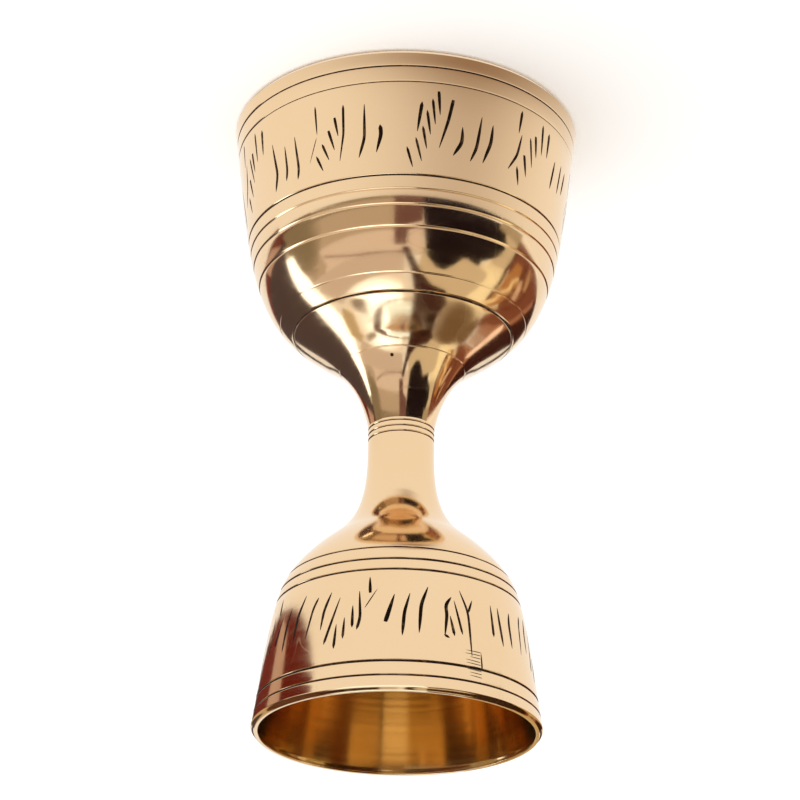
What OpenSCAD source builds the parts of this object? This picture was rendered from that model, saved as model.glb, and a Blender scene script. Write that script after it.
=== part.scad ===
// Double bar jigger in cast and turned brass. It stands on its large rim, with the small cup
// above it. Units are millimetres, +Z is up, and the origin is the centre of the large rim's face.
// Two castings meet end to end inside the neck's lowest groove, where a threaded stud and a ring
// of solder hold them together.

/* [Overall] */
// Height from the large rim to the small rim
overall_h = 100; // [96:0.5:106]
// Wall thickness at both rims
rim_wall = 1.2; // [1.1:0.1:1.5]
// Height of the bevel round the outside of each rim
lip_bevel_h = 0.8; // [0.4:0.1:1.2]
// Width of the bevel round the outside of each rim
lip_bevel_w = 0.45; // [0.2:0.05:0.6]
// Width and height of the small bevel inside each rim
lip_inner_bevel = 0.3; // [0.1:0.05:0.4]

/* [Large cup] */
// Outer radius at the large rim
large_rim_r = 27.4; // [26.5:0.1:28.5]
// Outer radius where the wall starts to turn in
large_shoulder_r = 24.4; // [24:0.1:24.8]
// Height where the wall starts to turn in
large_shoulder_z = 21; // [20:0.5:22]
// Outer radius halfway down the funnel, where its curve reverses
large_waist_r = 12.5; // [12:0.1:13]
// Height where the funnel's curve reverses
large_waist_z = 39.3; // [39:0.1:39.8]
// Height of the cup's floor, seen from inside
large_floor_z = 38.5; // [36:0.1:38.5]

/* [Small cup and neck] */
// Outer radius of the neck at its slimmest
neck_r = 5.1; // [4.9:0.1:5.5]
// Height of the joint between the two castings
seam_z = 51.7; // [51.2:0.1:52]
// Outer radius halfway up the flare, where its curve reverses
small_waist_r = 10.2; // [10:0.1:10.8]
// Height where the flare's curve reverses
small_waist_z = 69.7; // [69:0.1:70]
// Outer radius where the flare ends and the wall begins
small_shoulder_r = 18.4; // [18.2:0.1:19]
// Height where the wall begins
small_shoulder_z = 81; // [80.5:0.5:82]
// Outer radius at the small rim
small_rim_r = 21.5; // [21:0.1:22]
// Height of the cup's floor, seen from inside
small_floor_z = 69.6; // [69.6:0.1:72]

/* [Turned grooves] */
// Depth of the V grooves round the cups
groove_depth = 0.18; // [0.1:0.02:0.3]
// Width of the V grooves round the cups
groove_w = 0.3; // [0.2:0.02:0.5]
// Depth of the three fine grooves round the neck
neck_groove_depth = 0.12; // [0.08:0.02:0.2]
// Width of the three fine grooves round the neck
neck_groove_w = 0.22; // [0.16:0.02:0.3]
// Distance between the three fine grooves
neck_groove_pitch = 0.9; // [0.6:0.1:1.2]

/* [Joint] */
// Outer radius of the stud's thread
stud_r = 3; // [2.5:0.5:3]
// Pitch of the stud's thread
thread_pitch = 1; // [0.75:0.25:1.25]
// Length of thread at each end of the stud
thread_len = 7; // [5:1:7]
// Length of the plain pilot at each side of the joint
pilot_len = 1.2; // [1:0.1:1.5]
// Gap between the stud and its sockets
stud_gap = 0.04; // [0.02:0.01:0.1]
// Thickness of the solder between the two end faces
solder_t = 0.3; // [0.2:0.05:0.4]

/* [Hidden] */

brass = [0.83, 0.66, 0.40];
stud_brass = [0.72, 0.57, 0.32];
solder_grey = [0.72, 0.72, 0.70];

$fn = 96;
curve_steps = 14;

// Slopes are radius gained per millimetre of height
large_rim_slope = -0.175;
large_wall_slope = -0.185;
large_funnel_slope = -1.42;
large_collar_slope = -0.17;
small_flare_slope = 1.26;
small_wall_slope = 0.28;
small_rim_slope = 0.16;

// The large casting ends in a short plain land below the seam
collar_h = 0.4;
collar_z = seam_z - collar_h;

// Groove heights: two under the large rim, four round its belly, three on its funnel
large_grooves = [2.7, 5.2, 20.15, 22.3, 24.6, 27.8, 33.8, 35.9, 41.5];
// Two under the small rim and three round its shoulder
small_grooves = [97.7, 95.5, 80.9, 79.1, 77];
neck_grooves = [for (i = [0:2]) seam_z + i * neck_groove_pitch];

thread_depth = 0.55 * thread_pitch;
socket_len = pilot_len + thread_len + thread_pitch;
drill_point_h = 1.5;
solder_inner_r = 3.5;
solder_outer_r = 4.7;
groove_overshoot = 0.2;

// A point a given height away from p, along a line of the given slope
function handle(p, slope, dz) = [p[0] + slope * dz, p[1] + dz];

// Points along a cubic curve from a to d, with handles b and c; d itself is left to the next curve
function curve(a, b, c, d) = [
    for (i = [0:curve_steps - 1])
        let (t = i / curve_steps, u = 1 - t)
            u * u * u * a + 3 * u * u * t * b + 3 * u * t * t * c + t * t * t * d
];

// Outside of the large casting, from the rim up to the seam, as [radius, height] points
large_rim_p = [large_rim_r, 0];
large_shoulder_p = [large_shoulder_r, large_shoulder_z];
large_waist_p = [large_waist_r, large_waist_z];
large_collar_p = [neck_r, collar_z];
large_outside = concat(
    curve(large_rim_p, handle(large_rim_p, large_rim_slope, 5.7),
          handle(large_shoulder_p, large_wall_slope, -8.6), large_shoulder_p),
    curve(large_shoulder_p, handle(large_shoulder_p, large_wall_slope, 12),
          handle(large_waist_p, large_funnel_slope, -3.9), large_waist_p),
    curve(large_waist_p, handle(large_waist_p, large_funnel_slope, 1),
          handle(large_collar_p, large_collar_slope, -8.3), large_collar_p),
    [large_collar_p, [neck_r, seam_z]]
);

// Outside of the small casting, from the seam up to the rim
small_seam_p = [neck_r, seam_z];
small_waist_p = [small_waist_r, small_waist_z];
small_shoulder_p = [small_shoulder_r, small_shoulder_z];
small_rim_p = [small_rim_r, overall_h];
small_outside = concat(
    curve(small_seam_p, handle(small_seam_p, 0, 6.7),
          handle(small_waist_p, small_flare_slope, -4.5), small_waist_p),
    curve(small_waist_p, handle(small_waist_p, small_flare_slope, 5.9),
          handle(small_shoulder_p, small_wall_slope, -2.1), small_shoulder_p),
    curve(small_shoulder_p, handle(small_shoulder_p, small_wall_slope, 3.6),
          handle(small_rim_p, small_rim_slope, -6.2), small_rim_p),
    [small_rim_p]
);

// Inside of the large cup: a wall that follows the outside, closed by a round floor
large_mouth_p = [large_rim_r - rim_wall, 0];
large_inner_shoulder_p = [large_shoulder_r - rim_wall - 0.1, large_shoulder_z];
large_inside = concat(
    curve(large_mouth_p, handle(large_mouth_p, large_rim_slope, 5.7),
          handle(large_inner_shoulder_p, large_wall_slope, -8.6), large_inner_shoulder_p),
    curve(large_inner_shoulder_p, handle(large_inner_shoulder_p, large_wall_slope, 11),
          [large_waist_r, large_floor_z], [0, large_floor_z]),
    [[0, large_floor_z]]
);

// Inside of the small cup
small_mouth_p = [small_rim_r - rim_wall, overall_h];
small_inner_shoulder_p = [small_shoulder_r - rim_wall, small_shoulder_z];
small_inside = concat(
    curve(small_mouth_p, handle(small_mouth_p, small_rim_slope, -6.2),
          handle(small_inner_shoulder_p, small_wall_slope, 3.6), small_inner_shoulder_p),
    curve(small_inner_shoulder_p, handle(small_inner_shoulder_p, small_wall_slope, -4.6),
          [small_waist_r - rim_wall, small_floor_z], [0, small_floor_z]),
    [[0, small_floor_z]]
);

// Outer radius of a casting at height z
function radius_at(outside, z) = lookup(z, [for (p = outside) [p[1], p[0]]]);

// Ring-shaped cutter for a V groove at height z
module v_groove(outside, z, depth, width) {
    r = radius_at(outside, z);
    half_w = width / 2 * (1 + groove_overshoot / depth);
    rotate_extrude()
        polygon([
            [r - depth, z],
            [r + groove_overshoot, z - half_w],
            [r + groove_overshoot, z + half_w]
        ]);
}

// Cutter that bevels a rim outside and inside; up is 1 for a rim that faces up, -1 for one that faces down
module rim_bevels(r, z, up) {
    edge = 0.5;
    translate([0, 0, z])
        rotate_extrude() {
            polygon([
                [r - lip_bevel_w, up * edge],
                [r - lip_bevel_w, 0],
                [r, -up * lip_bevel_h],
                [r + edge, -up * lip_bevel_h],
                [r + edge, up * edge]
            ]);
            polygon([
                [r - rim_wall + lip_inner_bevel, 0],
                [r - rim_wall + lip_inner_bevel, up * edge],
                [r - rim_wall - edge, up * edge],
                [r - rim_wall - edge, -up * lip_inner_bevel],
                [r - rim_wall, -up * lip_inner_bevel]
            ]);
        }
}

// A threaded rod as rings of thread, starting at z = 0 and running up
module thread(r, len) {
    turns = len / thread_pitch;
    root_r = r - thread_depth;
    flanks = [
        for (i = [0:turns - 1]) each [
            [root_r, i * thread_pitch],
            [r, (i + 0.5) * thread_pitch]
        ]
    ];
    rotate_extrude()
        polygon(concat([[0, 0]], flanks, [[root_r, len], [0, len]]));
}

// Blind tapped socket with a plain pilot at its mouth and a drill point at its end, running up from z = 0
module socket() {
    r = stud_r + stud_gap;
    cylinder(r = r, h = pilot_len);
    translate([0, 0, pilot_len])
        thread(r, thread_len + thread_pitch);
    translate([0, 0, socket_len])
        cylinder(r1 = r - thread_depth, r2 = 0, h = drill_point_h);
}

// Half of the flat ring-shaped pocket that the solder fills
module solder_pocket() {
    difference() {
        cylinder(r = solder_outer_r, h = solder_t, center = true);
        cylinder(r = solder_inner_r, h = 2 * solder_t, center = true);
    }
}

module large_cup() {
    color(brass)
        difference() {
            rotate_extrude()
                polygon(concat(large_outside, [[0, seam_z]], [for (i = [len(large_inside) - 1:-1:0]) large_inside[i]]));
            rim_bevels(large_rim_r, 0, -1);
            for (z = large_grooves)
                v_groove(large_outside, z, groove_depth, groove_w);
            v_groove(large_outside, seam_z, neck_groove_depth, neck_groove_w);
            translate([0, 0, seam_z]) {
                mirror([0, 0, 1])
                    socket();
                solder_pocket();
            }
        }
}

module small_cup() {
    color(brass)
        difference() {
            rotate_extrude()
                polygon(concat([[0, seam_z]], small_outside, small_inside));
            rim_bevels(small_rim_r, overall_h, 1);
            for (z = small_grooves)
                v_groove(small_outside, z, groove_depth, groove_w);
            for (z = neck_grooves)
                v_groove(small_outside, z, neck_groove_depth, neck_groove_w);
            translate([0, 0, seam_z]) {
                socket();
                solder_pocket();
            }
        }
}

module joining_stud() {
    color(stud_brass)
        translate([0, 0, seam_z]) {
            cylinder(r = stud_r, h = 2 * pilot_len, center = true);
            for (m = [0, 1])
                mirror([0, 0, m])
                    translate([0, 0, pilot_len])
                        thread(stud_r, thread_len);
        }
}

module solder_ring() {
    color(solder_grey)
        translate([0, 0, seam_z])
            solder_pocket();
}

large_cup();
small_cup();
joining_stud();
solder_ring();
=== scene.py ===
"""Looks of the double bar jigger: turned, polished and chiselled brass on a plain pale table.

Lengths in this file are millimetres, as in the CAD model, and become metres where a mesh is made.
Outlines are lists of (radius, height) points, and the jigger stands on its large rim at height 0.
Angles round the jigger are degrees from the side that faces the camera, positive towards -X.
"""

import math
import random

import bmesh
import bpy
import numpy as np
from mathutils import Matrix, Vector


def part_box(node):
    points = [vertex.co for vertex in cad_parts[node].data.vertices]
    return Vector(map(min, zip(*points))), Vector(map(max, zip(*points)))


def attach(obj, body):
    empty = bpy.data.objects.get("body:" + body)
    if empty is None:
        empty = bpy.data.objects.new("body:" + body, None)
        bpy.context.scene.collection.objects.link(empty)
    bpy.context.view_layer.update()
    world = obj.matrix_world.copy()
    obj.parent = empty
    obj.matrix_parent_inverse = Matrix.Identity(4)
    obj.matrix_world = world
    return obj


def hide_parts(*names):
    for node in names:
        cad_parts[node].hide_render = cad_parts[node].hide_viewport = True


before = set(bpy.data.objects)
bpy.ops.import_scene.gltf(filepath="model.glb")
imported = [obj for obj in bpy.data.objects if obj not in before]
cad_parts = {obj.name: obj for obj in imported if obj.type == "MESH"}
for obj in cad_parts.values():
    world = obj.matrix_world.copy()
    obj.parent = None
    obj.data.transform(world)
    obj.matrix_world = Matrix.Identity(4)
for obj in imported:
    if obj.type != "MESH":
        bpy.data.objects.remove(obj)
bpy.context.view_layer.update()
MM = 0.001

# ---------------------------------------------------------------- sizes, as the CAD model has them

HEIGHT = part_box("small_cup")[1].z / MM
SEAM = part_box("small_cup")[0].z / MM
COLLAR = SEAM - 0.4
NECK_R = 5.1
RIM_WALL = 1.2

LARGE_RIM = (27.4, 0.0)
LARGE_SHOULDER = (24.4, 21.0)
LARGE_WAIST = (12.5, 39.3)
LARGE_FLOOR = 38.5
SMALL_WAIST = (10.2, 69.7)
SMALL_SHOULDER = (18.4, 81.0)
SMALL_RIM = (21.5, HEIGHT)
SMALL_FLOOR = 69.6

# Turned grooves as (height, depth, width, how much of the width round its bottom is coloured dark)
LARGE_GROOVES = [
    (2.7, 0.13, 0.46, 0.50),
    (5.2, 0.12, 0.42, 0.30),
    (20.15, 0.14, 0.48, 0.50),
    (22.3, 0.12, 0.46, 0.0),
    (24.6, 0.12, 0.46, 0.0),
    (27.8, 0.12, 0.46, 0.0),
    (33.8, 0.035, 0.28, 0.0),
    (35.9, 0.12, 0.44, 0.40),
    (41.5, 0.03, 0.24, 0.0),
]
SMALL_GROOVES = [
    (77.0, 0.11, 0.42, 0.42),
    (79.1, 0.13, 0.46, 0.52),
    (80.9, 0.13, 0.46, 0.52),
    (95.5, 0.15, 0.50, 0.58),
    (97.7, 0.11, 0.40, 0.42),
]
NECK_GROOVES = [(SEAM + 0.9 * i, 0.09, 0.34, 0.35) for i in range(3)]

# The joint hidden in the neck
SOCKET_R = 3.04
PILOT = 1.2
THREAD_DEPTH = 0.55
THREAD_TURNS = 8
DRILL_POINT = 1.5
POCKET = (3.5, 4.7, 0.15)

SEGMENTS = 384
CURVE_STEPS = 400

# Material slots of a cup
OUTSIDE, INSIDE, CUT = 0, 1, 2

# ---------------------------------------------------------------- outlines


def handle(point, slope, dz):
    """The point dz above point, on a line that gains slope millimetres of radius a millimetre."""
    return (point[0] + slope * dz, point[1] + dz)


def cubic(a, b, c, d, steps=CURVE_STEPS):
    """Points along a cubic curve from a to d with handles b and c."""
    t = np.linspace(0, 1, steps + 1)[:, None]
    a, b, c, d = (np.array(p, float) for p in (a, b, c, d))
    u = 1 - t
    return u**3 * a + 3 * u * u * t * b + 3 * u * t * t * c + t**3 * d


def large_outside():
    """From the large rim up to the seam."""
    rim, shoulder, waist, collar = LARGE_RIM, LARGE_SHOULDER, LARGE_WAIST, (NECK_R, COLLAR)
    wall = cubic(rim, handle(rim, -0.175, 5.7), handle(shoulder, -0.185, -8.6), shoulder)
    belly = cubic(shoulder, handle(shoulder, -0.185, 12), handle(waist, -1.42, -3.9), waist)
    funnel = cubic(waist, handle(waist, -1.42, 1), handle(collar, -0.17, -8.3), collar)
    return np.vstack([wall, belly[1:], funnel[1:], [(NECK_R, SEAM)]])


def small_outside():
    """From the seam up to the small rim."""
    seam, waist, shoulder, rim = (NECK_R, SEAM), SMALL_WAIST, SMALL_SHOULDER, SMALL_RIM
    neck = cubic(seam, handle(seam, 0, 6.7), handle(waist, 1.26, -4.5), waist)
    flare = cubic(waist, handle(waist, 1.26, 5.9), handle(shoulder, 0.28, -2.1), shoulder)
    wall = cubic(shoulder, handle(shoulder, 0.28, 3.6), handle(rim, 0.16, -6.2), rim)
    return np.vstack([neck, flare[1:], wall[1:]])


def large_inside():
    """From the mouth of the large cup up to its floor."""
    mouth = (LARGE_RIM[0] - RIM_WALL, 0)
    shoulder = (LARGE_SHOULDER[0] - RIM_WALL - 0.1, LARGE_SHOULDER[1])
    wall = cubic(mouth, handle(mouth, -0.175, 5.7), handle(shoulder, -0.185, -8.6), shoulder, 60)
    centre = (0, LARGE_FLOOR)
    dome = cubic(shoulder, handle(shoulder, -0.185, 11), (LARGE_WAIST[0], LARGE_FLOOR), centre, 60)
    return np.vstack([wall, dome[1:]])


def small_inside():
    """From the mouth of the small cup down to its floor."""
    mouth = (SMALL_RIM[0] - RIM_WALL, HEIGHT)
    shoulder = (SMALL_SHOULDER[0] - RIM_WALL, SMALL_SHOULDER[1])
    wall = cubic(mouth, handle(mouth, 0.16, -6.2), handle(shoulder, 0.28, 3.6), shoulder, 60)
    flat = (SMALL_WAIST[0] - RIM_WALL, SMALL_FLOOR)
    dome = cubic(shoulder, handle(shoulder, 0.28, -4.6), flat, (0, SMALL_FLOOR), 60)
    return np.vstack([wall, dome[1:]])


class Wall:
    """The outside of a cup: its radius and slope at each height, with the round grooves turned into it."""

    roll_depth = 0.018
    roll_reach = 0.3
    nominal_depth = 0.13
    even_step = 0.6
    across_groove = 14
    beside = (0.04, 0.1, 0.18, 0.3, 0.48, 0.75)

    def __init__(self, outline, grooves):
        self.outline_z, self.outline_r = outline[:, 1], outline[:, 0]
        self.grooves = grooves

    def radius(self, z):
        """Radius at a height. Polishing has rolled the metal over slightly beside each groove."""
        z = np.asarray(z, float)
        r = np.interp(z, self.outline_z, self.outline_r)
        for at, depth, width, _ in self.grooves:
            gap = np.abs(z - at)
            r = r - self.roll_depth * depth / self.nominal_depth * np.exp(-((gap / self.roll_reach) ** 1.4))
            r = r - np.where(gap < width / 2, depth * np.cos(np.pi * gap / width) ** 2, 0)
        return r

    def slope(self, z, reach=0.006):
        """Radius gained per millimetre of height."""
        z = np.asarray(z, float)
        return (self.radius(z + reach) - self.radius(z - reach)) / (2 * reach)

    def heights(self, low, high):
        """Heights of the outline's points: even steps, and closer together in and beside each groove."""
        far = self.beside[-1]
        even = np.arange(low, high, self.even_step)
        clear = [min(abs(z - at) for at, *_ in self.grooves) > far + self.even_step / 2 for z in even]
        rows = [even[clear], [low, high]]
        for at, _, width, dark in self.grooves:
            edge = width / 2 + np.array(self.beside)
            rows += [at + edge, at - edge, at + np.linspace(-width / 2, width / 2, self.across_groove + 1)]
            rows.append(at + np.array([-dark, dark]) * width / 2)
        z = np.unique(np.round(np.concatenate(rows), 4))
        z = z[(z >= low) & (z <= high)]
        return z[np.concatenate([[True], np.diff(z) > 0.012])]

    def outline(self, low, high):
        """(radius, height) points from low to high, and whether each span is a groove's dark bottom."""
        z = self.heights(low, high)
        return np.stack([self.radius(z), z], 1), self.dark((z[1:] + z[:-1]) / 2)

    def dark(self, z):
        """Whether each height is in the dark bottom of a groove."""
        bottom = np.zeros(len(z), bool)
        for at, _, width, dark in self.grooves:
            bottom |= np.abs(z - at) < width / 2 * dark
        return bottom

    def point(self, angle, z, lift=0.0):
        """The point at that angle and height, lifted off the surface, and the surface's outward normal."""
        a = math.radians(angle)
        out = Vector((-math.sin(a), -math.cos(a), 0))
        normal = (out - Vector((0, 0, float(self.slope(z))))).normalized()
        return out * float(self.radius(z)) + Vector((0, 0, z)) + normal * lift, normal


LARGE = Wall(large_outside(), LARGE_GROOVES + NECK_GROOVES[:1])
SMALL = Wall(small_outside(), NECK_GROOVES + SMALL_GROOVES)


# ---------------------------------------------------------------- the two castings

LIP_H = 0.65
LIP_FLAT = (0.66, 0.94)
LIP_INNER = 0.32


def tagged(points, material):
    """(radius, height, material) points. The material is that of the span that ends at the point."""
    return [(float(r), float(z), material) for r, z in points]


def lip(rim_r, wall, rim_z, up):
    """The rim from its outside to its inside: a crisp arris, a slanting edge, a narrow flat and a small
    inner round. up is 1 for a rim that faces up and -1 for one that faces down."""
    start_z = rim_z - up * LIP_H
    start = (float(wall.radius(start_z)), start_z)
    flat_out, flat_in = ((rim_r - w, rim_z) for w in LIP_FLAT)
    inner = (rim_r - RIM_WALL, rim_z - up * LIP_INNER)
    slant = (start[0] - 0.26, start[1] + up * 0.12)
    outer_round = cubic(start, slant, (flat_out[0] + 0.2, rim_z - up * 0.11), flat_out, 12)
    inner_round = cubic(flat_in, (flat_in[0] - 0.2, rim_z), (inner[0], rim_z - up * 0.12), inner, 8)
    return tagged(np.vstack([outer_round[1:], inner_round]), OUTSIDE)


def wall_points(wall, low, high):
    """The outside of a casting from low to high, with the bottoms of its grooves tagged as cut metal."""
    points, bottom = wall.outline(low, high)
    tags = [INSIDE] + [CUT if dark else OUTSIDE for dark in bottom]
    return [(float(r), float(z), tag) for (r, z), tag in zip(points, tags)]


def backwards(points):
    """The same outline from its other end, with each span keeping its material."""
    tags = [tag for _, _, tag in points[1:]] + [INSIDE]
    return [(r, z, tag) for (r, z, _), tag in zip(reversed(points), [INSIDE] + tags[::-1][1:])]


def socket(up):
    """The blind tapped hole from its mouth at the seam to its drill point. up is 1 or -1."""
    root = SOCKET_R - THREAD_DEPTH
    points = [(SOCKET_R, SEAM), (SOCKET_R, SEAM + up * PILOT)]
    for turn in range(THREAD_TURNS):
        at = SEAM + up * (PILOT + turn)
        points += [(root, at), (SOCKET_R, at + up * 0.5)]
    end = SEAM + up * (PILOT + THREAD_TURNS)
    points += [(root, end), (0, end + up * DRILL_POINT)]
    return tagged(points, INSIDE)


def seam_face(up):
    """The end face at the seam, from the neck's surface in to the socket, with its solder pocket."""
    inner, outer, depth = POCKET
    floor_z = SEAM + up * depth
    return tagged([(outer, SEAM), (outer, floor_z), (inner, floor_z), (inner, SEAM)], INSIDE)


def turned_inside(points, mouth_z, seed, depth=0.006):
    """The inside of a cup from its lip to its floor, with the fine ridges of a turning tool left in it."""
    rng = random.Random(seed)
    marked = [(r, z) for r, z in points if abs(z - mouth_z) > LIP_INNER + 0.05]
    ridged = [(r - depth * rng.random() if r > 1 else r, z) for r, z in marked]
    return tagged(ridged, INSIDE)


def revolve(name, outline, slots):
    """A closed solid of revolution from an outline that starts and ends on the axis."""
    angles = np.arange(SEGMENTS) * 2 * math.pi / SEGMENTS
    ring = np.stack([np.cos(angles), np.sin(angles)], 1)
    rings, first, total = [], [], 0
    for r, z, _ in outline:
        rows = np.column_stack([ring * r, np.full(SEGMENTS, z)]) if r > 1e-6 else np.array([[0.0, 0.0, z]])
        rings.append(rows)
        first.append(total)
        total += len(rows)
    radii, heights = np.array([p[:2] for p in outline], float).T
    clockwise = np.sum(radii * np.roll(heights, -1) - heights * np.roll(radii, -1)) < 0
    faces, materials = [], []
    for k in range(1, len(outline)):
        a, b = first[k - 1], first[k]
        for i in range(SEGMENTS):
            j = (i + 1) % SEGMENTS
            if outline[k - 1][0] < 1e-6:
                faces.append((a, b + i, b + j))
            elif outline[k][0] < 1e-6:
                faces.append((a + j, a + i, b))
            else:
                faces.append((a + j, a + i, b + i, b + j))
        materials += [outline[k][2]] * SEGMENTS
    mesh = bpy.data.meshes.new(name)
    if not clockwise:
        faces = [tuple(reversed(face)) for face in faces]
    mesh.from_pydata((np.vstack(rings) * MM).tolist(), [], faces)
    return finished_object(name, mesh, materials, slots)


def finished_object(name, mesh, materials, slots):
    """An object in the scene with these material slots, and one slot number for each face."""
    for slot in slots:
        mesh.materials.append(slot)
    mesh.polygons.foreach_set("material_index", materials)
    mesh.update()
    obj = bpy.data.objects.new(name, mesh)
    bpy.context.scene.collection.objects.link(obj)
    return obj


def large_casting(slots):
    outline = (
        backwards(socket(-1))
        + backwards(seam_face(-1))
        + backwards(wall_points(LARGE, LIP_H, SEAM))
        + lip(LARGE_RIM[0], LARGE, 0, -1)
        + turned_inside(large_inside(), 0, seed=3)
    )
    return revolve("large_cup_casting", outline, slots)


def small_casting(slots):
    outline = (
        backwards(socket(1))
        + backwards(seam_face(1))
        + wall_points(SMALL, SEAM, HEIGHT - LIP_H)
        + lip(SMALL_RIM[0], SMALL, HEIGHT, 1)
        + turned_inside(small_inside(), HEIGHT, seed=5)
    )
    return revolve("small_cup_casting", outline, slots)


# ---------------------------------------------------------------- the chiselled decoration

# A stroke is (weight, belly, point, point, ...). The belly says where along the stroke it is widest,
# from 0 at its first point to 1 at its last. Each point is (x, drop): x goes round the cup from the
# middle of the motif, positive towards -X, and drop is the distance from the rim.

LARGE_SPRIGS = [
    [
        (0.75, 0.2, (-2.2, 7.5), (-2.0, 12.2)),
        (0.35, 0.3, (-2.1, 12.6), (-3.5, 16.4)),
        (0.95, 0.2, (-2.3, 15.6), (-1.2, 18.2)),
        (1.00, 0.1, (-1.2, 13.9), (-0.1, 16.7)),
        (1.00, 0.0, (0.0, 12.0), (0.9, 15.3)),
        (1.05, 0.0, (1.1, 10.1), (1.6, 13.2)),
        (0.95, 0.1, (2.6, 8.3), (2.5, 13.0), (1.7, 17.2)),
    ],
    [
        (1.15, 0.1, (-1.5, 8.5), (-2.1, 13.3)),
        (0.90, 0.2, (-3.6, 15.8), (-2.6, 19.0)),
        (0.90, 0.2, (-2.3, 14.3), (-1.3, 18.0)),
        (0.90, 0.2, (-1.3, 12.4), (-0.6, 16.0)),
        (0.95, 0.2, (-0.7, 9.8), (-0.1, 13.7)),
        (1.00, 0.1, (0.1, 7.9), (0.6, 12.0)),
        (1.15, 0.0, (1.0, 6.6), (1.3, 10.4)),
        (1.25, 0.0, (3.3, 7.7), (2.6, 11.2), (1.3, 15.7)),
    ],
    [
        (1.10, 0.1, (-2.7, 6.1), (-3.0, 9.9)),
        (1.00, 0.5, (-2.3, 10.0), (-2.9, 13.6), (-4.4, 16.3)),
        (1.10, 0.1, (-2.7, 15.3), (-2.0, 18.2)),
        (1.20, 0.0, (-1.4, 13.0), (-0.6, 16.3)),
        (1.00, 0.2, (-0.4, 9.7), (0.5, 14.3)),
        (1.30, 0.0, (0.8, 9.0), (1.3, 12.4)),
        (1.10, 0.2, (2.4, 6.4), (2.6, 11.4)),
        (1.30, 0.1, (4.3, 7.0), (4.1, 11.2)),
    ],
]
LARGE_TICKS = [
    [
        (1.15, 0.75, (-2.7, 10.6), (-1.9, 15.8), (-2.7, 18.4)),
        (1.05, 0.80, (0.2, 12.0), (0.4, 16.0), (0.0, 17.6)),
        (1.10, 0.80, (2.4, 11.2), (2.8, 16.6), (2.4, 18.2)),
    ],
    [
        (1.00, 0.70, (-1.2, 8.7), (-1.2, 14.2), (-2.1, 17.2)),
        (1.40, 0.10, (1.2, 12.2), (1.4, 13.7), (0.6, 16.6)),
    ],
    [
        (1.30, 0.55, (-2.5, 11.8), (-2.4, 14.3), (-3.7, 16.6)),
        (1.15, 0.65, (0.6, 9.5), (0.0, 14.7), (-0.9, 17.0)),
        (1.20, 0.45, (2.6, 10.3), (2.4, 13.3), (1.2, 16.8)),
    ],
    [
        (1.20, 0.50, (-2.3, 10.4), (-3.0, 15.4)),
        (1.20, 0.50, (0.3, 9.8), (-0.3, 15.0)),
        (1.20, 0.50, (2.4, 10.1), (1.6, 14.3)),
    ],
]
SMALL_SPRIGS = [
    [
        (1.00, 0.85, (-5.4, 9.2), (-4.4, 14.0), (-3.6, 15.6)),
        (1.10, 0.55, (-2.7, 10.2), (-2.4, 13.2), (-1.4, 16.0)),
        (1.00, 0.05, (-1.9, 7.8), (0.1, 14.9)),
        (1.05, 0.05, (-0.2, 6.9), (-0.1, 10.7)),
        (1.05, 0.05, (1.1, 8.3), (1.1, 11.6)),
        (1.00, 0.10, (2.4, 9.9), (2.2, 13.4)),
        (1.05, 0.10, (3.1, 9.5), (3.5, 11.3), (3.0, 15.6)),
        (1.15, 0.00, (4.6, 15.2), (4.3, 17.8)),
        (0.40, 0.30, (4.0, 12.8), (5.6, 15.8)),
    ],
    [
        (1.25, 0.70, (-2.8, 8.8), (-2.2, 12.6), (-2.5, 13.6), (-1.4, 15.1)),
        (1.05, 0.30, (-2.9, 9.0), (-2.1, 8.6)),
        (1.00, 0.10, (-1.3, 9.0), (-1.8, 12.1)),
        (0.90, 0.20, (0.0, 9.4), (-1.0, 14.6)),
        (0.95, 0.60, (1.3, 6.3), (1.2, 11.9), (1.1, 13.3), (0.0, 16.4)),
        (0.90, 0.20, (1.15, 13.0), (2.0, 15.2)),
        (0.60, 0.00, (2.9, 4.7), (2.9, 7.2)),
    ],
]
SMALL_TICKS = [
    [
        (1.35, 0.00, (-3.4, 10.5), (-2.1, 14.9)),
        (1.10, 0.35, (-1.0, 8.4), (-0.7, 12.1), (0.1, 15.1)),
        (1.15, 0.50, (1.4, 8.9), (1.7, 13.4), (2.7, 16.3)),
    ],
    [
        (1.20, 0.10, (-1.9, 10.3), (-1.8, 15.3)),
        (1.20, 0.40, (0.0, 9.3), (-0.3, 13.6), (-0.3, 15.3)),
        (1.20, 0.60, (2.2, 9.6), (2.1, 13.6), (2.5, 15.3)),
    ],
]

# Where each motif sits, as (angle, which one). Those the engraver repeated out of sight of each other
# differ a little, as hand work does.
LARGE_SPRIG_ANGLES = [
    (-27.2, 0), (8.5, 1), (48.2, 2), (88, 0), (128, 1), (168, 2), (-152, 0), (-112, 1), (-68, 2),
]
LARGE_TICK_ANGLES = [
    (-46.5, 0), (-11.5, 1), (24.9, 2), (68.6, 3), (108, 0), (148, 2), (-172, 1), (-132, 3), (-90, 0),
]
SMALL_SPRIG_ANGLES = [(-26, 0), (27, 1), (78, 0), (129, 1), (180, 0), (-129, 1), (-78, 0)]
SMALL_TICK_ANGLES = [(4.4, 0), (48.6, 1), (103, 0), (154, 1), (-155, 0), (-104, 1), (-53, 0)]

LARGE_STROKE = 0.45
SMALL_STROKE = 0.45
THIN_END = 0.11
CHATTER = dict(angle=27, count=9, first=3.3, pitch=0.48, left=0.7, right=2.8, width=0.13)
PIT = dict(angle=-10.6, z=42.6, radius=0.28, depth=0.2)

LIFT = 0.12
STATION = 0.5
CLEARANCE = 0.5


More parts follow.
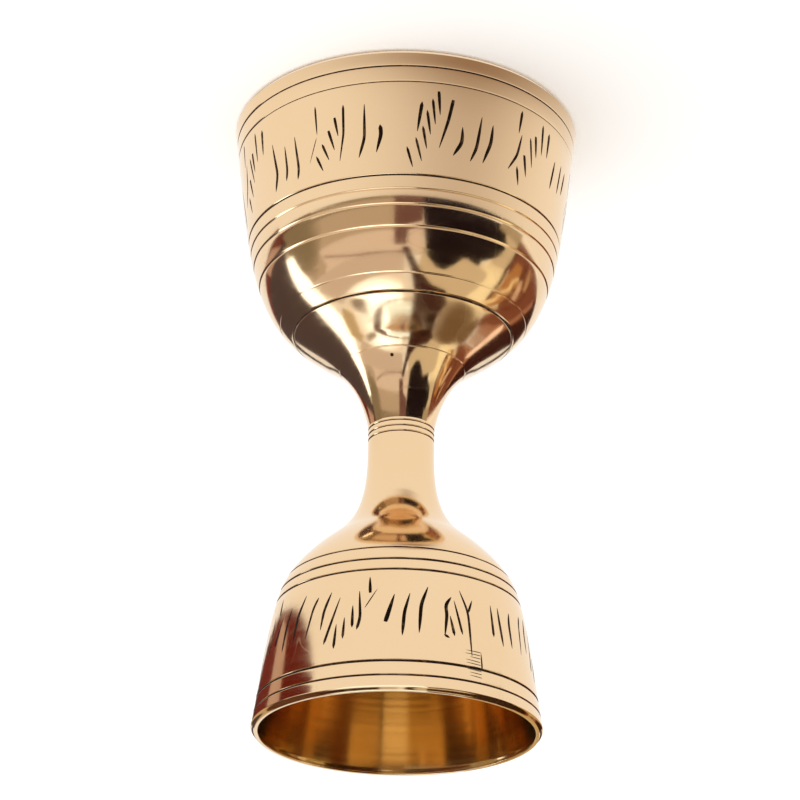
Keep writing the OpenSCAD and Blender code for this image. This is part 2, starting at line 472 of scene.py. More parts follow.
def stations(points, step=STATION):
    """Even points along a stroke's (x, drop) line, with its corners eased."""
    points = np.array(points, float)
    length = np.concatenate([[0], np.cumsum(np.hypot(*np.diff(points, axis=0).T))])
    at = np.linspace(0, length[-1], max(4, int(length[-1] / step) + 1))
    line = np.stack([np.interp(at, length, column) for column in points.T], 1)
    for _ in range(2):
        line[1:-1] = line[:-2] / 4 + line[1:-1] / 2 + line[2:] / 4
    return line


def half_widths(count, belly, thick, thin):
    """Half of a stroke's width at each station: widest at its belly, and blunt where that is an end."""
    t = np.linspace(0, 1, count)
    away = np.where(t < belly, (belly - t) / max(belly, 0.01), (t - belly) / max(1 - belly, 0.01))
    half = (thin + (thick - thin) * (1 - away**2.6)) / 2
    half[[0, -1]] *= 0.8
    return half


def wedge(wall, rim_z, inward, angle, points, belly, thick, thin):
    """Rings of (bottom, left, right) points of a V-shaped cutter along a stroke."""
    line = stations(points)
    half = half_widths(len(line), belly, thick, thin)
    rings, on_wall = [], []
    for x, drop in line:
        z = rim_z + inward * drop
        on_wall.append(wall.point(angle + math.degrees(x / float(wall.radius(z))), z))
    for i, (place, normal) in enumerate(on_wall):
        before, after = on_wall[max(i - 1, 0)][0], on_wall[min(i + 1, len(line) - 1)][0]
        side = normal.cross(after - before).normalized()
        top = place + normal * LIFT
        reach = float(half[i]) + LIFT
        rings.append([place - normal * float(half[i]), top - side * reach, top + side * reach])
    return rings


def dent(wall, angle, z, radius, depth, sides=14):
    """The cutter of a round pit, as a cone: its point, then its ring."""
    place, normal = wall.point(angle, z)
    across = normal.orthogonal().normalized()
    reach = radius * (1 + LIFT / depth)
    ring = [Matrix.Rotation(2 * math.pi * i / sides, 3, normal) @ across * reach for i in range(sides)]
    return place - normal * depth, [place + normal * LIFT + r for r in ring]


class Cutter:
    """Cutting wedges that don't touch each other, joined into one mesh for one Boolean."""

    def __init__(self):
        self.verts, self.faces, self.middles = [], [], []

    def clear_of(self, rings):
        near = np.array([(a + b) / 2 for _, a, b in rings])
        return all(
            np.min(np.linalg.norm(near[:, None] - other[None], axis=2)) > CLEARANCE for other in self.middles
        )

    def add_wedge(self, rings):
        first = len(self.verts)
        self.middles.append(np.array([(a + b) / 2 for _, a, b in rings]))
        self.verts += [v for ring in rings for v in ring]
        for i in range(first, first + 3 * (len(rings) - 1), 3):
            for a, b in ((0, 1), (1, 2), (2, 0)):
                self.faces.append((i + a, i + b, i + 3 + b, i + 3 + a))
        last = first + 3 * (len(rings) - 1)
        self.faces += [(first, first + 2, first + 1), (last, last + 1, last + 2)]

    def add_dent(self, tip, ring):
        first = len(self.verts)
        self.verts += [tip] + ring
        rim = [first + 1 + i for i in range(len(ring))]
        self.faces += [(first, a, b) for a, b in zip(rim, rim[1:] + rim[:1])] + [tuple(reversed(rim))]

    def build(self, name, slots):
        mesh = bpy.data.meshes.new(name)
        mesh.from_pydata([tuple(v * MM) for v in self.verts], [], self.faces)
        shape = bmesh.new()
        shape.from_mesh(mesh)
        bmesh.ops.recalc_face_normals(shape, faces=shape.faces)
        shape.to_mesh(mesh)
        shape.free()
        return finished_object(name, mesh, [CUT] * len(mesh.polygons), slots)


def strokes_of(motifs, placed, width, seed):
    """(angle, points, belly, thick, thin) of every stroke, each a little different from its pattern."""
    rng = random.Random(seed)
    first_use = set()
    for angle, which in placed:
        wander = 0.0 if which not in first_use else 0.3
        first_use.add(which)
        for weight, belly, *points in motifs[which]:
            dx, dd, lean = (rng.uniform(-1, 1) * wander for _ in range(3))
            mid = points[len(points) // 2][1]
            moved = [(x + dx + lean * (d - mid) * 0.12, d + dd) for x, d in points]
            yield angle, moved, belly, width * weight * rng.uniform(0.92, 1.08), THIN_END * min(weight, 1)


def chatter():
    """The short marks that the graver left where it skidded beside one sprig."""
    rng = random.Random(11)
    for i in range(CHATTER["count"]):
        drop = CHATTER["first"] + i * CHATTER["pitch"]
        left = (CHATTER["left"] + rng.uniform(-0.5, 0.7), drop)
        right = (CHATTER["right"] - rng.uniform(-0.1, 0.2), drop - rng.uniform(0.0, 0.12))
        yield CHATTER["angle"], [right, left], 0.0, CHATTER["width"], CHATTER["width"] * 0.5


def large_strokes():
    yield from strokes_of(LARGE_SPRIGS, LARGE_SPRIG_ANGLES, LARGE_STROKE, seed=21)
    yield from strokes_of(LARGE_TICKS, LARGE_TICK_ANGLES, LARGE_STROKE, seed=22)


def small_strokes():
    yield from strokes_of(SMALL_SPRIGS, SMALL_SPRIG_ANGLES, SMALL_STROKE, seed=23)
    yield from strokes_of(SMALL_TICKS, SMALL_TICK_ANGLES, SMALL_STROKE, seed=24)
    yield from chatter()


def engrave(casting, wall, rim_z, inward, strokes, slots, dents=()):
    """Cuts the strokes into a casting, in as few Booleans as keep the cutters of each one apart."""
    cutters = []
    for angle, points, belly, thick, thin in strokes:
        rings = wedge(wall, rim_z, inward, angle, points, belly, thick, thin)
        home = next((c for c in cutters if c.clear_of(rings)), None)
        if home is None:
            home = Cutter()
            cutters.append(home)
        home.add_wedge(rings)
    for each in dents:
        cutters[0].add_dent(*dent(wall, each["angle"], each["z"], each["radius"], each["depth"]))
    tools = [c.build(casting.name + "_tool_" + str(i), slots) for i, c in enumerate(cutters)]
    for tool in tools:
        cut = casting.modifiers.new("cut", "BOOLEAN")
        cut.operation = "DIFFERENCE"
        cut.solver = "MANIFOLD"
        cut.object = tool
    bpy.context.view_layer.update()
    result = bpy.data.meshes.new_from_object(casting.evaluated_get(bpy.context.evaluated_depsgraph_get()))
    casting.modifiers.clear()
    plain = casting.data
    casting.data = result
    bpy.data.meshes.remove(plain)
    for tool in tools:
        cutter_mesh = tool.data
        bpy.data.objects.remove(tool)
        bpy.data.meshes.remove(cutter_mesh)


def smooth_true(casting, wall, low, high):
    """Sharp where the metal has an edge, and exactly round on the polished wall between low and high."""
    mesh = casting.data
    mesh.polygons.foreach_set("use_smooth", [True] * len(mesh.polygons))
    mesh.set_sharp_from_angle(angle=math.radians(20))
    loops = len(mesh.loops)
    at = np.zeros(len(mesh.vertices) * 3)
    mesh.vertices.foreach_get("co", at)
    corner = np.zeros(loops, int)
    mesh.loops.foreach_get("vertex_index", corner)
    at = at.reshape(-1, 3)[corner] / MM
    sizes, slots, centres = (np.zeros(len(mesh.polygons) * n) for n in (1, 1, 3))
    mesh.polygons.foreach_get("loop_total", sizes)
    mesh.polygons.foreach_get("material_index", slots)
    mesh.polygons.foreach_get("center", centres)
    face = np.repeat(np.arange(len(mesh.polygons)), sizes.astype(int))
    middle = centres.reshape(-1, 3)[face, 2] / MM
    turned = (slots[face] == OUTSIDE) | wall.dark(middle) & (slots[face] == CUT)
    polished = turned & (middle > low) & (middle < high)
    z = at[:, 2] + 0.02 * (middle - at[:, 2])
    from_axis = np.maximum(np.hypot(at[:, 0], at[:, 1]), 1e-6)[:, None]
    normals = np.column_stack([at[:, :2] / from_axis, -wall.slope(z)])
    normals /= np.linalg.norm(normals, axis=1)[:, None]
    normals[~polished] = 0
    mesh.normals_split_custom_set(normals.tolist())


# ---------------------------------------------------------------- materials

BRASS = (0.855, 0.63, 0.39)
BRASS_DULL = (0.80, 0.55, 0.30)
PATINA = (0.035, 0.018, 0.010)
SOLDER = (0.62, 0.60, 0.56)


class Finish:
    """A material with one Principled shader, and short ways to add the nodes that drive it."""

    def __init__(self, name, metallic=1.0, roughness=0.1):
        self.material = bpy.data.materials.new(name)
        self.material.use_nodes = True
        self.nodes, self.links = self.material.node_tree.nodes, self.material.node_tree.links
        self.shader = self.nodes["Principled BSDF"]
        self.shader.inputs["Metallic"].default_value = metallic
        self.shader.inputs["Roughness"].default_value = roughness
        self.place = self.nodes.new("ShaderNodeTexCoord").outputs["Object"]

    def math(self, operation, a, b=0.0):
        node = self.nodes.new("ShaderNodeMath")
        node.operation = operation
        for socket, value in zip(node.inputs, (a, b)):
            self.feed(socket, value)
        return node.outputs[0]

    def vector(self, operation, a, b=(0, 0, 0)):
        node = self.nodes.new("ShaderNodeVectorMath")
        node.operation = operation
        self.feed(node.inputs[0], a)
        self.feed(node.inputs[1], b)
        return node.outputs["Value" if operation == "LENGTH" else "Vector"]

    def feed(self, socket, value):
        if isinstance(value, bpy.types.NodeSocket):
            self.links.new(value, socket)
        else:
            socket.default_value = value

    def noise(self, scale, detail=2.0, stretch=(1, 1, 1)):
        """Noise from 0 to 1, with scale features a metre."""
        node = self.nodes.new("ShaderNodeTexNoise")
        self.feed(node.inputs["Vector"], self.vector("MULTIPLY", self.place, stretch))
        node.inputs["Scale"].default_value = scale
        node.inputs["Detail"].default_value = detail
        return node.outputs["Fac"]

    def lathe_noise(self, across, around, detail=2.0):
        """Noise drawn out round the axis, as turning leaves it: across features a metre up the wall, and
        around features over a turn."""
        flat = self.vector("MULTIPLY", self.place, (1, 1, 0))
        ring = self.vector("MULTIPLY", self.vector("NORMALIZE", flat), (around, around, 0))
        height = self.vector("MULTIPLY", self.place, (0, 0, across))
        node = self.nodes.new("ShaderNodeTexNoise")
        node.noise_dimensions = "4D"
        self.feed(node.inputs["Vector"], self.vector("ADD", ring, height))
        self.feed(node.inputs["W"], self.math("MULTIPLY", self.vector("LENGTH", flat), across))
        node.inputs["Scale"].default_value = 1.0
        node.inputs["Detail"].default_value = detail
        return node.outputs["Fac"]

    def ramp(self, value, low, high, low_out=0.0, high_out=1.0):
        node = self.nodes.new("ShaderNodeMapRange")
        keys = ("Value", "From Min", "From Max", "To Min", "To Max")
        for key, number in zip(keys, (value, low, high, low_out, high_out)):
            self.feed(node.inputs[key], number)
        return node.outputs["Result"]

    def mix(self, factor, a, b):
        node = self.nodes.new("ShaderNodeMix")
        node.data_type = "RGBA"
        colour_inputs = [socket for socket in node.inputs if socket.type == "RGBA"]
        self.feed(node.inputs["Factor"], factor)
        for socket, colour in zip(colour_inputs, (a, b)):
            self.feed(socket, colour if isinstance(colour, bpy.types.NodeSocket) else (*colour, 1))
        return next(socket for socket in node.outputs if socket.type == "RGBA")

    def bump(self, height, depth, below=None):
        """Relief of height from 0 to 1, depth millimetres deep, on top of the relief below."""
        node = self.nodes.new("ShaderNodeBump")
        node.inputs["Strength"].default_value = 1.0
        node.inputs["Distance"].default_value = depth * MM
        self.feed(node.inputs["Height"], height)
        if below is not None:
            self.feed(node.inputs["Normal"], below)
        return node.outputs["Normal"]

    def scratches(self, scale, thin):
        """Long fine scratches in two directions: 1 on a scratch and 0 between them."""
        both = None
        for stretch in ((1, 0.25, 0.08), (0.1, 1, 0.35)):
            line = self.math("ABSOLUTE", self.math("SUBTRACT", self.noise(scale, 1.0, stretch), 0.5))
            mark = self.ramp(line, 0.0, thin, 1.0, 0.0)
            both = mark if both is None else self.math("MAXIMUM", both, mark)
        return both

    def set(self, key, value):
        self.feed(self.shader.inputs[key], value)


def polished_brass():
    finish = Finish("polished_brass")
    tone = finish.ramp(finish.noise(60, 3), 0.35, 0.7)
    finish.set("Base Color", finish.mix(tone, BRASS, (0.85, 0.615, 0.37)))
    marks = finish.scratches(180, 0.0025)
    worn = finish.ramp(finish.lathe_noise(900, 3, 3), 0.3, 0.75, 0.09, 0.15)
    finish.set("Roughness", finish.math("ADD", worn, finish.math("MULTIPLY", marks, 0.08)))
    waves = finish.bump(finish.lathe_noise(350, 2.0, 2), 0.0016)
    lines = finish.bump(finish.lathe_noise(4000, 5, 3), 0.0006, waves)
    finish.set("Normal", lines)
    return finish.material


def turned_brass():
    finish = Finish("turned_brass")
    tone = finish.ramp(finish.lathe_noise(700, 2, 4), 0.3, 0.7)
    finish.set("Base Color", finish.mix(tone, (0.88, 0.62, 0.30), (0.82, 0.54, 0.23)))
    finish.set("Roughness", finish.ramp(finish.lathe_noise(2500, 1.5, 3), 0.3, 0.7, 0.10, 0.15))
    finish.shader.inputs["Anisotropic"].default_value = 0.3
    finish.shader.inputs["Anisotropic Rotation"].default_value = 0.25
    tangent = finish.nodes.new("ShaderNodeTangent")
    tangent.direction_type = "RADIAL"
    tangent.axis = "Z"
    finish.set("Tangent", tangent.outputs["Tangent"])
    coarse = finish.bump(finish.lathe_noise(900, 1.2, 2), 0.002)
    finish.set("Normal", finish.bump(finish.lathe_noise(5000, 2.0, 3), 0.0008, coarse))
    return finish.material


def cut_brass():
    finish = Finish("cut_brass", metallic=0.8)
    bare = finish.ramp(finish.noise(900, 4), 0.52, 0.75)
    finish.set("Base Color", finish.mix(bare, PATINA, (0.22, 0.13, 0.06)))
    finish.set("Roughness", finish.ramp(finish.noise(2500, 2), 0.3, 0.7, 0.4, 0.65))
    finish.set("Normal", finish.bump(finish.noise(6000, 3), 0.01))
    return finish.material


def threaded_brass():
    finish = Finish("threaded_brass")
    tone = finish.ramp(finish.noise(300, 4), 0.35, 0.65)
    finish.set("Base Color", finish.mix(tone, BRASS_DULL, (0.70, 0.45, 0.22)))
    finish.set("Roughness", finish.ramp(finish.noise(1200, 3), 0.3, 0.7, 0.22, 0.38))
    finish.set("Normal", finish.bump(finish.lathe_noise(6000, 4, 2), 0.003))
    return finish.material


def dull_solder():
    finish = Finish("dull_solder")
    tone = finish.ramp(finish.noise(900, 5), 0.3, 0.7)
    finish.set("Base Color", finish.mix(tone, SOLDER, (0.45, 0.43, 0.40)))
    finish.set("Roughness", finish.ramp(finish.noise(2500, 3), 0.3, 0.7, 0.35, 0.55))
    finish.set("Normal", finish.bump(finish.noise(1800, 4), 0.02))
    return finish.material


# ---------------------------------------------------------------- the jigger

CUP_FINISHES = [polished_brass(), turned_brass(), cut_brass()]

large_cup = large_casting(CUP_FINISHES)
engrave(large_cup, LARGE, 0.0, 1, large_strokes(), CUP_FINISHES, [PIT])
smooth_true(large_cup, LARGE, LIP_H, SEAM)

small_cup = small_casting(CUP_FINISHES)
engrave(small_cup, SMALL, HEIGHT, -1, small_strokes(), CUP_FINISHES)
smooth_true(small_cup, SMALL, SEAM, HEIGHT - LIP_H)

for piece, node in ((large_cup, "large_cup"), (small_cup, "small_cup")):
    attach(piece, "root")
    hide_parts(node)

for node, finish in (("joining_stud", threaded_brass()), ("solder_ring", dull_solder())):
    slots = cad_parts[node].data.materials
    slots.clear()
    slots.append(finish)

# ---------------------------------------------------------------- camera

CAMERA_AT = Vector((0.28, -385.9, 219.3)) * MM
CAMERA_PITCH = math.radians(24.15)
CAMERA_ROLL = math.radians(0.9)
CAMERA_LENS = 123.4

# The jigger is seen from above the small cup's rim, with the picture turned upside down.
camera = bpy.data.objects.new("camera", bpy.data.cameras.new("camera"))
camera.data.lens = CAMERA_LENS
camera.data.sensor_width = 36
camera.data.clip_start = 0.01
level_right = Vector((-1, 0, 0))
level_up = Vector((0, -math.sin(CAMERA_PITCH), -math.cos(CAMERA_PITCH)))
backward = Vector((0, -math.cos(CAMERA_PITCH), math.sin(CAMERA_PITCH)))
right = level_right * math.cos(CAMERA_ROLL) + level_up * math.sin(CAMERA_ROLL)
up = level_up * math.cos(CAMERA_ROLL) - level_right * math.sin(CAMERA_ROLL)
camera.matrix_world = Matrix.Translation(CAMERA_AT) @ Matrix((right, up, backward)).transposed().to_4x4()
bpy.context.scene.collection.objects.link(camera)
bpy.context.scene.camera = camera

# ---------------------------------------------------------------- floor, light and reflected cards

# Azimuths in this part are degrees from +Y towards +X, so 180 is the camera's side.


def painted_glow(name):
    """Gives its own light, in the colour painted on each corner."""
    material = bpy.data.materials.new(name)
    material.use_nodes = True
    nodes = material.node_tree.nodes
    nodes.clear()
    paint = nodes.new("ShaderNodeVertexColor")
    paint.layer_name = "paint"
    light = nodes.new("ShaderNodeEmission")
    material.node_tree.links.new(paint.outputs["Color"], light.inputs["Color"])
    out = nodes.new("ShaderNodeOutputMaterial")
    material.node_tree.links.new(light.outputs[0], out.inputs["Surface"])
    return material


def glow(name, colour, fade=None):
    """A flat colour that gives its own light. fade is (radius, radius) in metres from the object's origin:
    solid up to the first one and clear from the second."""
    material = bpy.data.materials.new(name)
    material.use_nodes = True
    nodes, links = material.node_tree.nodes, material.node_tree.links
    nodes.clear()
    light = nodes.new("ShaderNodeEmission")
    light.inputs["Color"].default_value = (*colour, 1)
    out = nodes.new("ShaderNodeOutputMaterial")
    if fade is None:
        links.new(light.outputs[0], out.inputs["Surface"])
        return material
    place = nodes.new("ShaderNodeTexCoord")
    away = nodes.new("ShaderNodeVectorMath")
    away.operation = "LENGTH"
    links.new(place.outputs["Object"], away.inputs[0])
    edge = nodes.new("ShaderNodeMapRange")
    edge.interpolation_type = "SMOOTHSTEP"
    links.new(away.outputs["Value"], edge.inputs["Value"])
    for key, number in (("From Min", fade[0]), ("From Max", fade[1]), ("To Min", 0.0), ("To Max", 1.0)):
        edge.inputs[key].default_value = number
    both = nodes.new("ShaderNodeMixShader")
    links.new(edge.outputs["Result"], both.inputs[0])
    links.new(light.outputs[0], both.inputs[1])
    links.new(nodes.new("ShaderNodeBsdfTransparent").outputs[0], both.inputs[2])
    links.new(both.outputs[0], out.inputs["Surface"])
    return material


def reflected_only(name, corners, material, origin=(0, 0, 0), faces=None):
    """A glowing card that only shows in the metal, as a painted reflection, like one held beside a product.
    It is flat without faces.
    """
    mesh = bpy.data.meshes.new(name)
    mesh.from_pydata([tuple(c) for c in corners], [], faces or [tuple(range(len(corners)))])
    mesh.materials.append(material)
    obj = bpy.data.objects.new(name, mesh)
    obj.location = origin
    bpy.context.scene.collection.objects.link(obj)
    obj.visible_camera = False
    obj.visible_diffuse = False
    obj.visible_shadow = False
    return obj


def arc(name, az0, az1, rows, material):
    """Part of a ring round the jigger, between two azimuths, through (radius, height) rows."""
    sweep = np.radians(np.linspace(az0, az1, max(6, int((az1 - az0) / 4)) + 1))
    corners = [Vector((r * math.sin(a), r * math.cos(a), z)) * MM for r, z in rows for a in sweep]
    count = len(sweep)
    faces = [
        (row + i, row + i + 1, row + count + i + 1, row + count + i)
        for row in range(0, count * (len(rows) - 1), count)
        for i in range(count - 1)
    ]
    return reflected_only(name, corners, material, faces=faces)


def toward(azimuth, elevation, distance):
    """A point that far from the jigger's middle, azimuth degrees from +Y towards +X."""
    a, e = math.radians(azimuth), math.radians(elevation)
    flat = math.cos(e)
    return CARD_CENTRE + Vector((flat * math.sin(a), flat * math.cos(a), math.sin(e))) * distance


def card(name, distance, colour, outline, soft=False):
    """A card that hangs where the (azimuth, elevation) points of its outline say. A soft one fades out."""
    corners = [toward(az, el, distance) for az, el in outline]
    if not soft:
        reflected_only(name, corners, glow(name, colour))
        return
    middle = sum(corners, Vector()) / len(corners)
    corners = [c - middle for c in corners]
    reach = max(c.length for c in corners)
    reflected_only(name, corners, glow(name, colour, (0.25 * reach, 0.85 * reach)), middle)


def block(az0, az1, el0, el1, steps=6):
    """The outline of a card between two azimuths and two elevations."""
    sweep = np.linspace(az0, az1, steps)
    return [(az, el0) for az in sweep] + [(az, el1) for az in sweep[::-1]]


CARD_CENTRE = Vector((0, 0, 0.4 * HEIGHT * MM))

DAYLIGHT = (2.3, 2.5, 2.7)
TABLE = (1.04, 1.02, 1.0)
CREAM = (1.0, 0.92, 0.82)
PALE = (0.83, 0.72, 0.66)
DIM_CREAM = (0.71, 0.61, 0.55)
BEIGE = (0.57, 0.47, 0.38)
OLIVE = (0.27, 0.22, 0.15)
TAUPE = (0.3, 0.24, 0.2)
GREY_BROWN = (0.09, 0.065, 0.07)
BROWN = (0.18, 0.09, 0.08)
BLACK = (0.012, 0.006, 0.008)
DARK_RED = (0.05, 0.014, 0.010)
MAROON = (0.135, 0.012, 0.006)
CRIMSON = (0.17, 0.03, 0.022)
PLUM = (0.05, 0.02, 0.02)
ROSE = (0.58, 0.40, 0.33)
RED_BROWN = (0.23, 0.08, 0.045)
TAN = (0.72, 0.62, 0.46)
DULL_TAN = (0.47, 0.39, 0.27)
GOLD = (1.15, 1.05, 0.75)
UMBER = (0.20, 0.12, 0.06)

# Painted reflections of the room: glowing cards that show what the room looks like from the jigger: (name,
# distance in metres, colour, outline, whether it is soft)
ROOM_CARDS = [
    ("wall_lower", 1.30, BEIGE, block(108, 180, -10, 14)),
    ("wall_upper", 1.30, PALE, block(106, 180, 14, 31)),
    ("wall_top", 1.30, DIM_CREAM, block(84, 180, 31, 54)),
    ("wall_corner", 1.30, PALE, block(-180, -164, -10, 34, 3)),
    ("skirting", 1.28, OLIVE, block(106, 172, -10, -4)),
    (
        "picture_rail", 1.26, BROWN,
        [(112, 19), (134, 28), (156, 31), (184, 31), (184, 33), (156, 32.5), (134, 29.5), (112, 20.5)],
    ),
    ("wall_left", 1.31, BEIGE, block(83, 110, -10, 31)),
    (
        "wall_olive", 1.27, OLIVE,
        [(78, -18), (112, -18), (118, 2), (104, 24), (84, 34), (76, 10)], True,
    ),
    ("ceiling", 1.32, CREAM, block(60, 180, 56, 89)),
    ("ceiling_left", 1.34, CREAM, block(-180, -60, 72, 89)),
    ("skylight", 1.28, DAYLIGHT, block(70, 178, 54, 87), True),
    (
        "window", 1.20, DAYLIGHT,
        [(78, 2), (86, 4), (88, 25), (81, 40), (67, 54), (54, 50), (56, 41), (65, 35), (73, 20)],
    ),
    ("mullion", 1.18, TAUPE, [(82, 56), (96, 54), (114, 68), (96, 72)], True),
    (
        "grey_side", 1.24, GREY_BROWN,
        [(24, -8), (79, -8), (79, 6), (72, 20), (64, 36), (54, 43), (24, 45)],
    ),
    (
        "brown_strip", 1.16, BROWN,
        [(173, -8), (193, -8), (193, 9), (183, 14), (182, 26), (172, 26)],
    ),
    (
        "black_block", 1.15, BLACK,
        [
            (-168, -7), (-104, -8), (-98, 4), (-102, 12), (-113, 22), (-113, 36), (-125, 25), (-131, 43),
            (-147, 44), (-160, 34), (-165, 15),
        ],
    ),
    ("cream_post", 1.22, TAN, block(-106, -88, -12, 24, 3)),
    ("far_wall", 1.27, TAN, block(-165, -86, 24, 68)),
    ("gold_wall", 1.25, GOLD, block(-118, -64, 10, 58, 4), True),
    (
        "dark_arch", 1.10, DARK_RED,
        [
            (-182, 28), (-174, 46), (-170, 56), (-158, 72), (-143, 81), (-122, 82), (-114, 79), (-102, 76),
            (-86, 71), (-98, 63), (-118, 60), (-140, 61), (-160, 52), (-167, 44), (-176, 28),
        ],
    ),
    (
        "red_wall", 1.20, RED_BROWN,
        [(-88, -10), (-44, -10), (-40, 4), (-41, 26), (-60, 42), (-76, 36), (-87, 20)],
    ),
    ("umber_side", 1.23, UMBER, [(-70, 44), (-40, 34), (-40, 74), (-80, 74)]),
    (
        "umber_wall", 1.22, UMBER,
        [(-104, 64), (-86, 42), (-66, 38), (-46, 40), (-46, 74), (-90, 78)], True,
    ),
    ("dark_end", 1.15, DARK_RED, [(-44, -12), (-24, -12), (-24, 45), (-32, 40), (-41, 22)]),
]

# The shadows and lit folds in front of the red wall
RED_WALL_CARDS = [
    (
        "red_amber", 1.03, (0.50, 0.24, 0.09),
        [(-83, 4), (-86, 16), (-81, 34), (-77, 42), (-69, 40), (-70, 20), (-73, 2)],
    ),
    (
        "red_edge", 1.01, (0.10, 0.03, 0.015),
        [
            (-83, -8), (-85, 0), (-88, 13), (-83, 30), (-75, 42),
            (-77, 43), (-86, 32), (-91, 14), (-88, 0), (-86, -8),
        ],
    ),
    (
        "red_fold_1", 1.0, (1.0, 0.78, 0.45),
        [
            (-75, 8), (-79, 14), (-77, 20), (-80, 27), (-77, 33), (-80, 42),
            (-74, 43), (-73, 33), (-76, 27), (-73, 20), (-76, 14), (-73, 9),
        ],
    ),
    (
        "red_dark_1", 1.02, (0.14, 0.04, 0.02),
        [(-74, -6), (-69, 2), (-70, 14), (-67, 26), (-70, 28), (-73, 14), (-75, 4)],
    ),
    ("red_fold_2", 1.0, (0.60, 0.38, 0.22), [(-68, -4), (-63, 0), (-60, 7), (-63, 8), (-67, 2)]),
    (
        "red_fold_3", 1.0, (0.80, 0.55, 0.38),
        [(-70, 6), (-66, 10), (-62, 18), (-65, 21), (-69, 16), (-72, 10)],
    ),
    (
        "red_dark_2", 1.02, (0.17, 0.05, 0.025),
        [(-60, -4), (-57, 10), (-58, 24), (-64, 32), (-61, 22), (-60, 10), (-63, -2)],
    ),
    (
        "red_rim", 0.99, (0.42, 0.20, 0.12),
        [
            (-44, -8), (-48, 8), (-47, 20), (-51, 30), (-57, 37),
            (-53, 38), (-46, 31), (-43, 20), (-44, 8), (-41, -6),
        ],
    ),
    ("red_glint", 0.97, (1.3, 1.0, 0.85), [(-48, 22), (-46, 27), (-41, 29), (-39, 24), (-43, 21)]),
]
for each in ROOM_CARDS + RED_WALL_CARDS:
    card(*each)


def sheet(name, colour, corners, lift):
    """A glowing coloured sheet that lies that far over the floor and shows only in the metal, as a painted
    reflection, with its corners in millimetres.
    """
    reflected_only(name, [Vector((x, y, lift)) * MM for x, y in corners], glow(name, colour))


TABLE_HALF_WIDTH = 215
TABLE_HALF_LENGTH = 335
TABLE_EDGE = [
    (TABLE_HALF_WIDTH * math.cos(a), TABLE_HALF_LENGTH * math.sin(a))
    for a in np.linspace(0, 2 * math.pi, 48, endpoint=False)
]

# Painted reflections of what lies flat round the jigger, as glowing sheets: (name, colour, corners, height
# over the floor)
FLAT_SHEETS = [
    ("table_top", TABLE, TABLE_EDGE, 0.05),
    (
        "maroon_cloth", MAROON,
        [(168, -60), (142, 80), (122, 150), (84, 260), (200, 700), (900, 700), (900, -60)], 0.1,
    ),
    ("cloth_stripe", ROSE, [(168, 60), (140, 100), (900, 600), (900, 60)], 0.2),
    (
        "cloth_red", CRIMSON,
        [(140, 104), (122, 150), (100, 215), (400, 900), (900, 900), (900, 640)], 0.15,
    ),
    ("cloth_dark", PLUM, [(100, 215), (84, 260), (200, 700), (400, 900)], 0.18),
]
for each in FLAT_SHEETS:
    sheet(*each)

FAR_FLOOR_END = 1300
FAR_FLOOR_LIFT = 0.4


def far_floor(name, colour, az0, az1, near):
    """A glowing painted reflection of what lies past the table's edge, between two azimuths and from a near
    radius outwards.
    """
    sweep = np.radians(np.linspace(az0, az1, 6))
    inner = [(near * math.sin(a), near * math.cos(a)) for a in sweep]
    outer = [(FAR_FLOOR_END * math.sin(a), FAR_FLOOR_END * math.cos(a)) for a in sweep[::-1]]
    sheet(name, colour, inner + outer, FAR_FLOOR_LIFT)


FAR_FLOOR = [
    ("far_left", OLIVE, 84, 112, 215),
    ("far_front", OLIVE, 112, 172, 330),
    ("far_brown", BROWN, 172, 193, 330),
    ("far_black", BLACK, -167, -108, 330),
    ("far_tan", DULL_TAN, -108, -88, 205),
    ("far_red", RED_BROWN, -88, -44, 330),
    ("far_dark", DARK_RED, -44, 8, 330),
    ("far_grey", GREY_BROWN, 8, 84, 330),
]
for each in FAR_FLOOR:
    far_floor(*each)

# Soft shade round the foot, on the side towards the camera and -X
SHADE_ROWS = [(27.6, 0.06), (30, 0.06)] + [(33, z) for z in (0.06, 1, 2, 3, 5, 8, 12, 16, 19, 23)]
SHADE_COLOUR = (0.27, 0.15, 0.08)
SHADE_CENTRE = 204
SHADE_SPREAD = 32
SHADE_FOOT_SPREAD = 14
SHADE_DEPTH = 0.42
SHADE_FOOT_DEPTH = 0.55


def shade_paint(azimuth, z):
    """How the shade darkens the table's light: most at its centre and close to the table."""
    spread = SHADE_SPREAD + SHADE_FOOT_SPREAD * math.exp(-z / 2)
    depth = SHADE_DEPTH + SHADE_FOOT_DEPTH * math.exp(-(z + 0.8) / 5)
    amount = depth * math.exp(-(((azimuth - SHADE_CENTRE) / spread) ** 2))
    return [t + (s - t) * amount for t, s in zip(TABLE, SHADE_COLOUR)] + [1]


shade = arc("foot_shade", 110, 300, SHADE_ROWS, painted_glow("foot_shade"))
shade_corners = shade.data.attributes.new("paint", "FLOAT_COLOR", "POINT")
for corner, vertex in zip(shade_corners.data, shade.data.vertices):
    at = vertex.co / MM
    corner.color = shade_paint(math.degrees(math.atan2(at.x, at.y)) % 360, at.z)
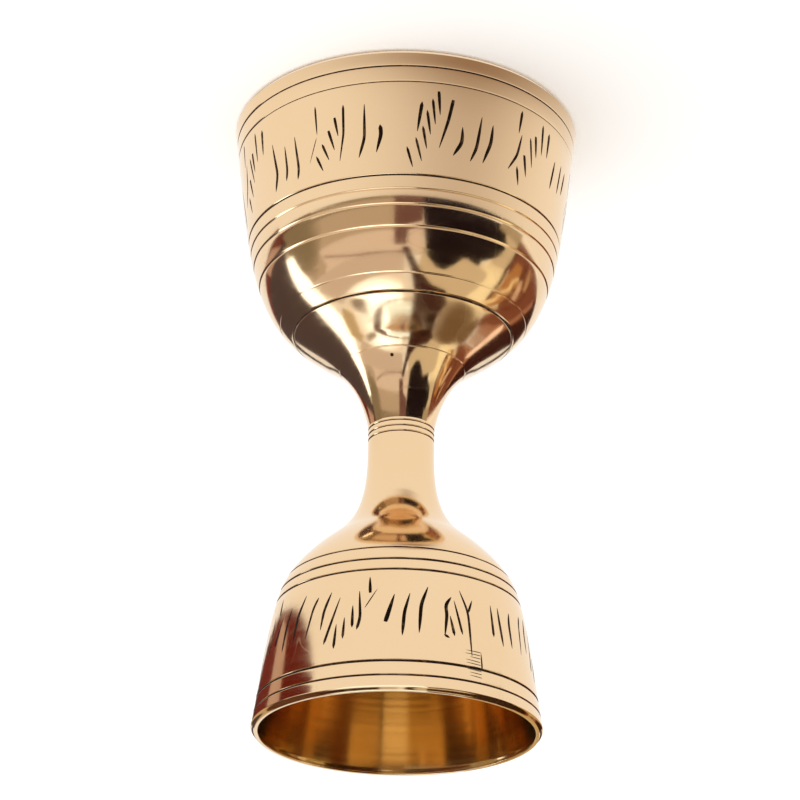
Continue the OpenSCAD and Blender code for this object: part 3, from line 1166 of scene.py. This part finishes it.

# Painted shade and painted reflections inside the small cup: glowing cards that stand round the small rim
# and show only in the metal, dark ones to shade the inside and pale ones to light it: (radius, azimuths,
# heights, colour)
RIM_SHADE_AND_GLOW_CARDS = [
    (60, 32, 92, 108, 131, (0.62, 0.48, 0.28)),
    (30, 94, 136, 101.5, 122, (0.10, 0.03, 0.006)),
    (30, 136, 170, 101.5, 111, (0.04, 0.011, 0.002)),
    (30, 170, 196, 101.5, 108, (0.24, 0.14, 0.03)),
    (30, 196, 226, 101.5, 110, (0.05, 0.015, 0.003)),
    (30, 226, 264, 101.5, 122, (0.03, 0.009, 0.002)),
    (28, -96, -22, 102, 113, (0.60, 0.44, 0.20)),
    (27, -30, 45, 113, 127, (0.30, 0.18, 0.05)),
]
for index, (radius, az0, az1, low, high, colour) in enumerate(RIM_SHADE_AND_GLOW_CARDS):
    name = "rim_shade_and_glow_card_" + str(index)
    arc(name, az0, az1, [(radius, low), (radius, high)], glow(name, colour))

# A dark glowing lid over the mouth that paints shade inside the cup, and a bright glowing card over the near
# lip that paints a highlight on it; both show only in the metal
MOUTH_SHADE_ROWS = [(15.5, 113), (0.5, 113)]
MOUTH_SHADE_COLOUR = (0.05, 0.02, 0.005)
LIP_HIGHLIGHT_ROWS = [(29, 112), (26, 113.5), (16, 115)]
LIP_HIGHLIGHT_COLOUR = (1.20, 1.42, 1.50)
arc("mouth_painted_shade", 0, 360, MOUTH_SHADE_ROWS, glow("mouth_painted_shade", MOUTH_SHADE_COLOUR))
arc("lip_painted_highlight", 144, 198, LIP_HIGHLIGHT_ROWS, glow("lip_painted_highlight", LIP_HIGHLIGHT_COLOUR))

FLOOR_HALF = 4.0
FLOOR_DROP = 0.05 * MM
FLOOR_COLOUR = (0.93, 0.925, 0.915, 1)

floor_mesh = bpy.data.meshes.new("floor")
floor_mesh.from_pydata(
    [(x * FLOOR_HALF, y * FLOOR_HALF, -FLOOR_DROP) for x, y in ((-1, -1), (1, -1), (1, 1), (-1, 1))],
    [],
    [(0, 1, 2, 3)],
)
floor = bpy.data.objects.new("floor", floor_mesh)
floor_paint = Finish("floor_white", metallic=0.0, roughness=0.9)
floor_paint.set("Base Color", FLOOR_COLOUR)
floor_mesh.materials.append(floor_paint.material)
bpy.context.scene.collection.objects.link(floor)

world = bpy.data.worlds.new("studio")
bpy.context.scene.world = world
world.use_nodes = True
background = world.node_tree.nodes["Background"]
background.inputs["Color"].default_value = (1.0, 0.985, 0.965, 1)
background.inputs["Strength"].default_value = 1.0


def softbox(name, at, size, power):
    """A round soft lamp that points at the jigger and doesn't show in its metal."""
    lamp = bpy.data.lights.new(name, "AREA")
    lamp.shape = "DISK"
    lamp.size = size
    lamp.energy = power
    obj = bpy.data.objects.new(name, lamp)
    obj.location = at
    obj.rotation_euler = (-Vector(at)).to_track_quat("-Z", "Y").to_euler()
    obj.visible_glossy = False
    bpy.context.scene.collection.objects.link(obj)


softbox("key", (0.5, 0.3, 1.5), 1.6, 10)

bpy.context.scene.view_settings.view_transform = "Standard"

bpy.context.view_layer.update()
